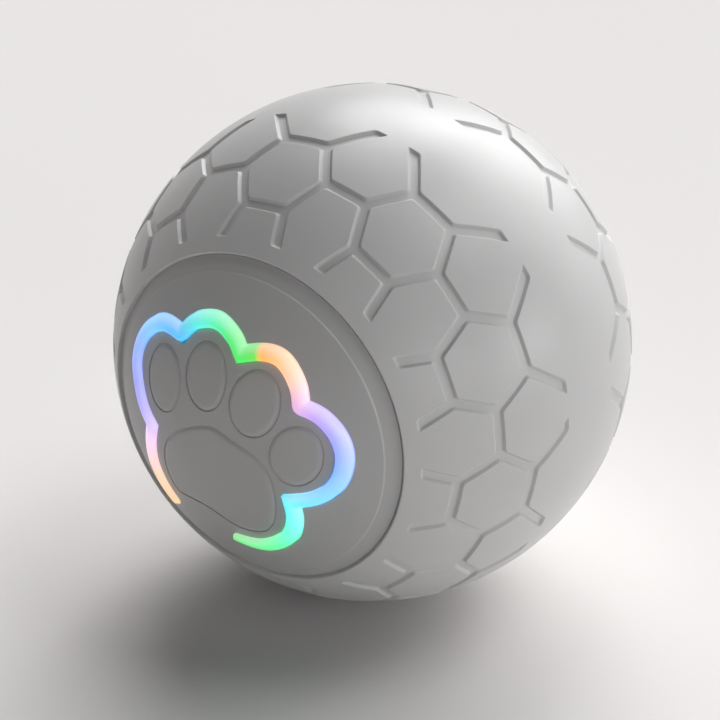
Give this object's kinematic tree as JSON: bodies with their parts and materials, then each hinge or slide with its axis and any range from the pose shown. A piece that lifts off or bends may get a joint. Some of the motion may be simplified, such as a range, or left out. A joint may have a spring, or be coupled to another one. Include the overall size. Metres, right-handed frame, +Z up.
{
  "type": "bouncing dog ball",
  "caption": "Ball for dogs with a soft hexagon tread, a lit paw outline on one cap, a button and port on the other, and a motor-driven weight inside.",
  "frame": {"origin": "centre of the ball", "axes": "+Y along the axis of the caps, from the paw cap to the charging cap; +Z up as the ball lies on the floor; the paw cap faces -Y with its paw upright"},
  "size_m": [0.085, 0.0846, 0.085],
  "materials": {
    "cover": "matte soft",
    "shell": "satin",
    "seal": "matte",
    "cap": "matte soft-touch",
    "light": "milky translucent, lit",
    "board": "solder mask",
    "lamp": "moulded",
    "button": "matte",
    "dark": "matte",
    "steel": "plated",
    "brass": "turned",
    "zinc": "die-cast zinc",
    "gear": "moulded acetal",
    "frame": "moulded",
    "cell": "shrink film over a steel can",
    "plug": "matte silicone"
  },
  "bodies": {
    "ball": {"tread_cover": "cover", "front_shell": "shell", "rear_shell": "shell", "shell_seal": "seal", "shell_screw_1": "steel", "shell_screw_2": "steel", "shell_screw_3": "steel", "shell_screw_4": "steel", "paw_cap": "cap", "paw_light_guide": "light", "led_board": "board", "led_1": "lamp", "led_2": "lamp", "led_3": "lamp", "led_4": "lamp", "led_5": "lamp", "led_6": "lamp", "led_7": "lamp", "led_8": "lamp", "paw_cap_screw_1": "steel", "paw_cap_screw_2": "steel", "paw_cap_screw_3": "steel", "rear_cap": "cap", "tact_switch": "dark", "main_board": "board", "motion_sensor": "steel", "usb_socket": "steel", "rear_cap_screw_1": "steel", "rear_cap_screw_2": "steel", "rear_cap_screw_3": "steel", "drive_frame": "frame", "gear_cover": "frame", "gear_screw_1": "steel", "gear_screw_2": "steel", "gear_screw_3": "steel", "motor_can": "steel", "motor_end": "dark", "motor_screw_1": "steel", "motor_screw_2": "steel", "idler_pin": "steel", "rear_bush": "brass", "front_bush": "brass", "battery_cell": "cell", "battery_cradle": "frame"},
    "weight": {"eccentric_weight": "zinc", "weight_screw": "steel", "drive_shaft": "steel", "output_gear": "gear"},
    "idler": {"idler_gear": "gear"},
    "rotor": {"motor_shaft": "steel", "motor_pinion": "brass"},
    "button": {"power_button": "button"},
    "plunger": {"switch_plunger": "button"},
    "plug": {"port_plug": "plug"}
  },
  "joints": [
    {"name": "weight_spin", "type": "hinge", "parent": "ball", "child": "weight", "pos_m": [0, 0, 0], "axis": [0, 1, 0], "continuous": true},
    {"name": "idler_spin", "type": "hinge", "parent": "ball", "child": "idler", "pos_m": [0.01403, 0, -0.00868], "axis": [0, 1, 0], "continuous": true},
    {"name": "rotor_spin", "type": "hinge", "parent": "ball", "child": "rotor", "pos_m": [0, 0, -0.014], "axis": [0, 1, 0], "continuous": true},
    {"name": "button_press", "type": "slide", "parent": "ball", "child": "button", "axis": [0, -1, 0], "range_m": [0, 0.0003], "stiffness_N_per_m": 800, "springref_m": -0.0006},
    {"name": "plunger_press", "type": "slide", "parent": "ball", "child": "plunger", "axis": [0, -1, 0], "range_m": [0, 0.0004]},
    {"name": "plug_pull", "type": "slide", "parent": "ball", "child": "plug", "axis": [0, 1, 0], "range_m": [0, 0.008]}
  ],
  "couplings": [
    {"joint": "idler_spin", "follows": "weight_spin", "ratio": -3.5833},
    {"joint": "rotor_spin", "follows": "weight_spin", "ratio": 14.333},
    {"joint": "plunger_press", "follows": "button_press", "ratio": 1}
  ]
}
